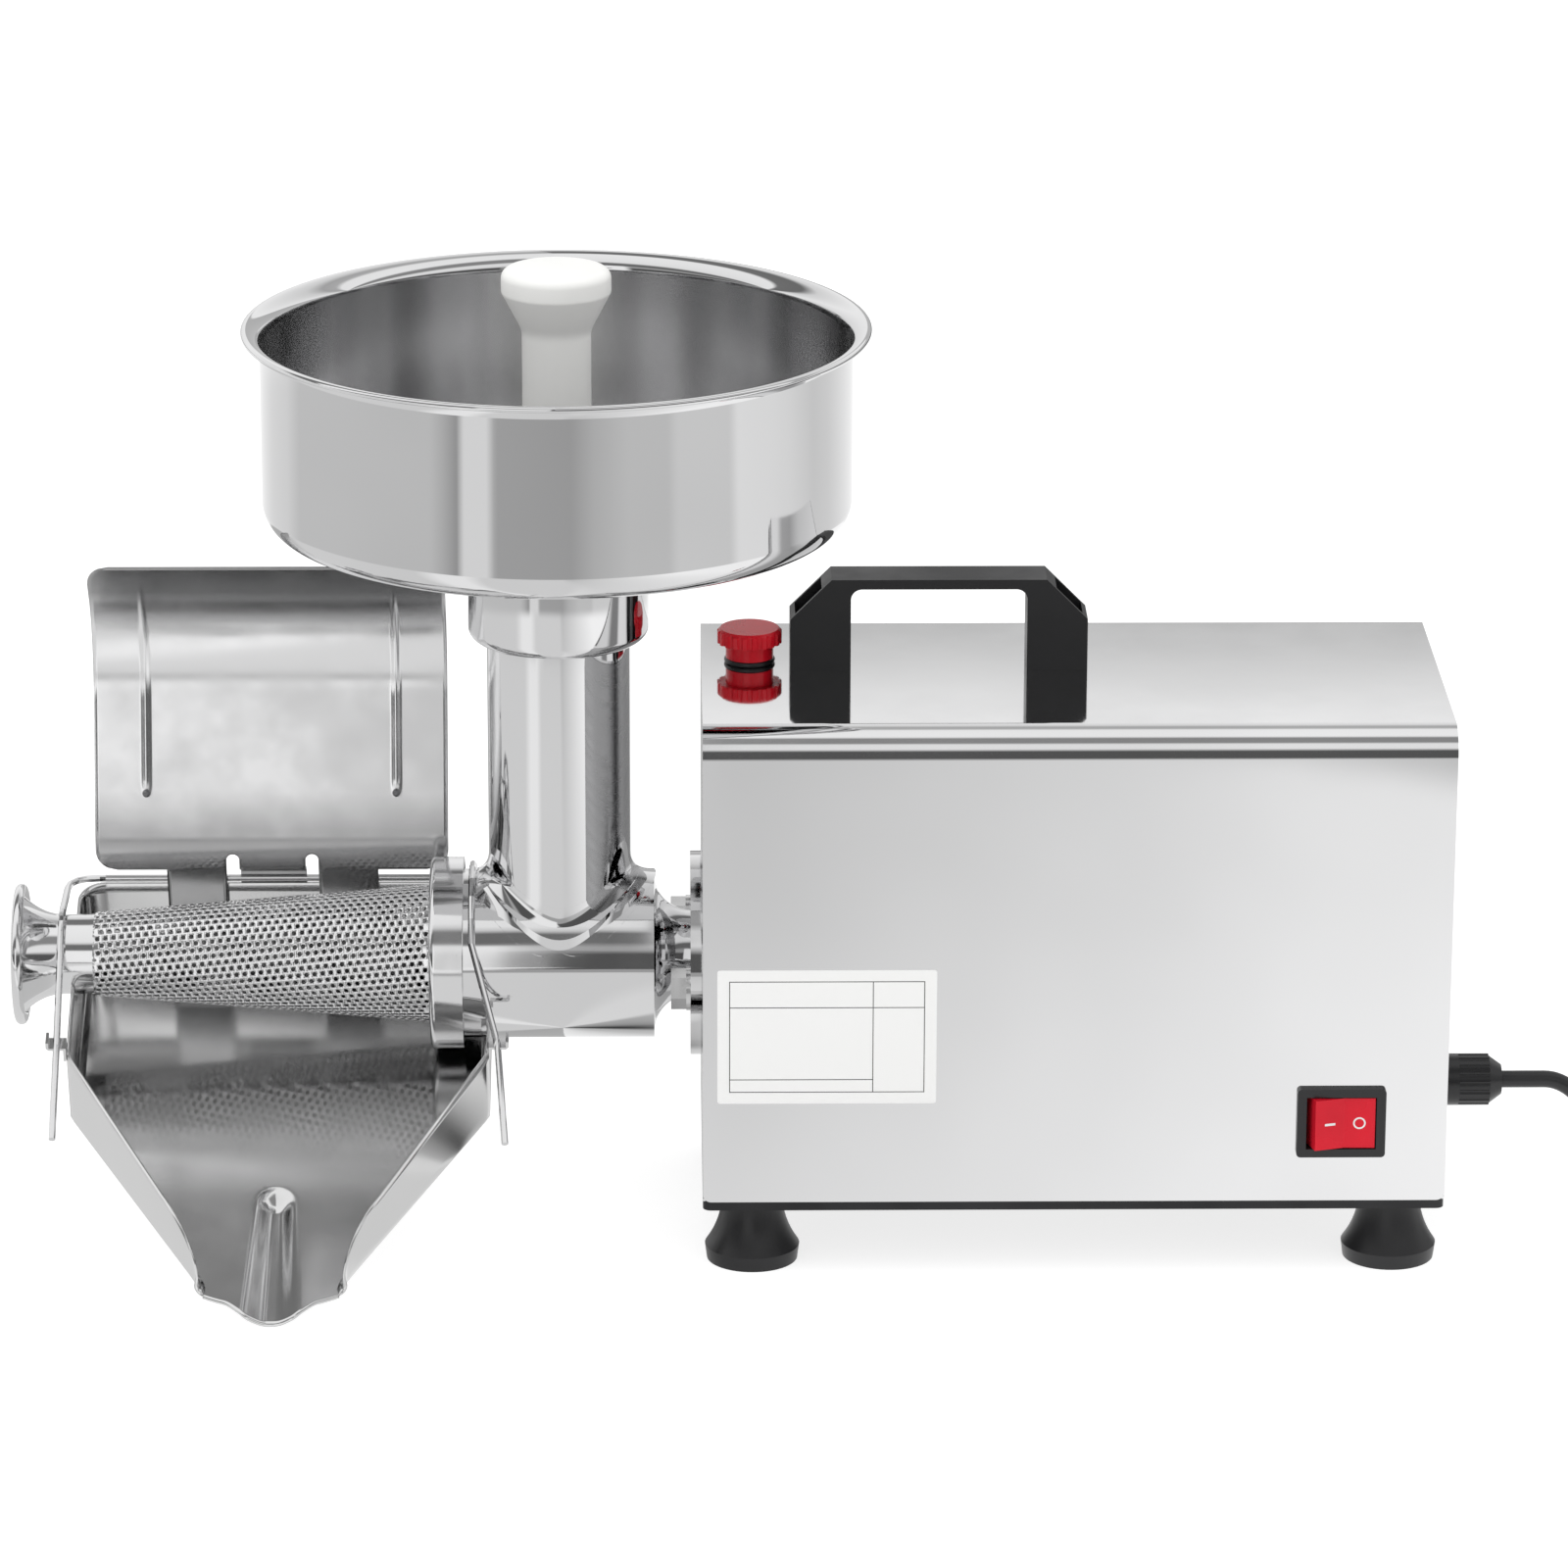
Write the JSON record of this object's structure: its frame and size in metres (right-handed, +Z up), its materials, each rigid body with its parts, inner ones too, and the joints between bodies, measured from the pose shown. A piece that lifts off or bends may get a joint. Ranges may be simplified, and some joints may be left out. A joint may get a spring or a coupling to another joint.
{
  "type": "electric tomato press",
  "caption": "Tabletop electric tomato press: steel motor housing, geared auger in a perforated cone, round hopper with pusher, sloped juice tray with splash guard and wire bail",
  "frame": {"origin": "On the table, under the middle of the machine's box without its cord", "axes": "+X towards the cable side, +Y to the back, +Z up"},
  "size_m": [0.6971, 0.2981, 0.3574],
  "materials": {
    "housing_steel": "fine brushed stainless sheet, grain along the length",
    "zinc_plate": "dull zinc plated steel",
    "black_rubber": "matt black rubber",
    "black_moulding": "fine grained black moulding",
    "switch_black": "satin black moulding",
    "rocker_red": "glossy red moulding with white on and off marks",
    "cap_red": "satin red moulding",
    "cast_iron_case": "grey enamel on cast iron",
    "gasket_paper": "pressed paper",
    "bearing_steel": "ground steel",
    "gear_bronze": "cut bronze",
    "bell_aluminium": "die cast aluminium",
    "core_steel": "stacked electrical steel",
    "capacitor_white": "off white can",
    "terminal_ivory": "ivory moulding",
    "polished_steel": "mirror polished stainless steel",
    "bright_bolt": "bright plated steel",
    "auger_steel": "cast stainless steel",
    "seal_white": "white food grade rubber",
    "sheet_steel": "bright pressed stainless sheet",
    "spring_wire": "bright stainless wire",
    "pusher_white": "white food grade plastic",
    "cord_black": "black sheathed cord",
    "pin_brass": "nickel plated brass"
  },
  "bodies": {
    "root": {"housing_wrap": "housing_steel", "left_end_plate": "housing_steel", "right_end_plate": "housing_steel", "base_plate": "zinc_plate", "rubber_feet": "black_rubber", "foot_screws": "zinc_plate", "carry_handle": "black_moulding", "handle_screws": "zinc_plate", "oil_filler_neck": "zinc_plate", "switch_bezel": "switch_black", "gland_body": "black_moulding", "gland_nut": "black_moulding", "gland_lock_nut": "black_moulding", "gearbox_case": "cast_iron_case", "gearbox_cover": "cast_iron_case", "gearbox_gasket": "gasket_paper", "gearbox_bolts": "zinc_plate", "output_bearings": "bearing_steel", "lay_bearings": "bearing_steel", "motor_stator": "core_steel", "motor_front_bell": "bell_aluminium", "motor_rear_bell": "bell_aluminium", "motor_bearings": "bearing_steel", "motor_cradle": "zinc_plate", "start_capacitor": "capacitor_white", "terminal_block": "terminal_ivory", "press_body": "polished_steel", "shaft_seal": "black_rubber", "flange_bolts": "bright_bolt", "flange_washers": "bright_bolt", "screen_gasket": "seal_white", "screen_cone": "polished_steel", "waste_outlet": "polished_steel", "juice_tray": "sheet_steel", "cord_lead": "cord_black", "cord_coil": "cord_black", "cord_tail": "cord_black", "plug": "cord_black", "plug_pins": "pin_brass"},
    "output_drive": {"output_shaft": "bearing_steel", "output_gear": "gear_bronze", "auger": "auger_steel"},
    "lay_drive": {"lay_shaft": "bearing_steel", "lay_gear": "gear_bronze", "lay_pinion": "bearing_steel"},
    "motor_rotor": {"rotor_core": "core_steel", "rotor_shaft": "bearing_steel", "motor_pinion": "bearing_steel", "cooling_fan": "black_moulding"},
    "rocker": {"switch_rocker": "rocker_red"},
    "bayonet_ring": {"lock_ring": "polished_steel"},
    "hopper": {"hopper_pan": "sheet_steel", "hopper_socket": "polished_steel"},
    "plunger": {"pusher": "pusher_white"},
    "bail": {"wire_bail": "spring_wire"},
    "guard": {"splash_guard": "sheet_steel"},
    "cap_seal": {"oil_cap_ring": "black_rubber"},
    "cap": {"oil_cap": "cap_red"}
  },
  "joints": [
    {"name": "output_spin", "type": "hinge", "parent": "root", "child": "output_drive", "pos_m": [-0.12215, 0.0072, 0.099], "axis": [1, 0, 0], "continuous": true},
    {"name": "lay_spin", "type": "hinge", "parent": "root", "child": "lay_drive", "pos_m": [-0.00215, 0.0332, 0.14461], "axis": [1, 0, 0], "continuous": true},
    {"name": "rotor_spin", "type": "hinge", "parent": "root", "child": "motor_rotor", "pos_m": [0.09785, -0.00743, 0.14461], "axis": [1, 0, 0], "continuous": true},
    {"name": "switch_rock", "type": "hinge", "parent": "root", "child": "rocker", "pos_m": [0.20765, -0.0578, 0.0586], "axis": [0, 0, -1], "range_deg": [0, 16]},
    {"name": "lock_ring_turn", "type": "hinge", "parent": "root", "child": "bayonet_ring", "pos_m": [-0.11515, 0.0072, 0.099], "axis": [1, 0, 0], "range_deg": [0, 35]},
    {"name": "hopper_lift", "type": "slide", "parent": "root", "child": "hopper", "axis": [0, 0, 1], "range_m": [0, 0.04]},
    {"name": "pusher_lift", "type": "slide", "parent": "root", "child": "plunger", "axis": [0, 0, 1], "range_m": [0, 0.12]},
    {"name": "bail_swing", "type": "hinge", "parent": "root", "child": "bail", "pos_m": [-0.17605, 0.04118, 0.11668], "axis": [-1, 0, 0], "range_deg": [0, 70]},
    {"name": "guard_lift", "type": "slide", "parent": "root", "child": "guard", "axis": [0, -0.3665, 0.9304], "range_m": [0, 0.018]},
    {"name": "oil_cap_rise", "type": "slide", "parent": "root", "child": "cap_seal", "axis": [0, 0, 1], "range_m": [0, 0.006]},
    {"name": "oil_cap_turn", "type": "hinge", "parent": "cap_seal", "child": "cap", "pos_m": [-0.00455, 0.0217, 0.2062], "axis": [0, 0, 1], "range_deg": [0, 1440]}
  ],
  "couplings": [
    {"joint": "lay_spin", "follows": "output_spin", "ratio": -3.6667},
    {"joint": "rotor_spin", "follows": "output_spin", "ratio": 12.222},
    {"joint": "oil_cap_rise", "follows": "oil_cap_turn", "m_per_rad": 0.00023873}
  ]
}
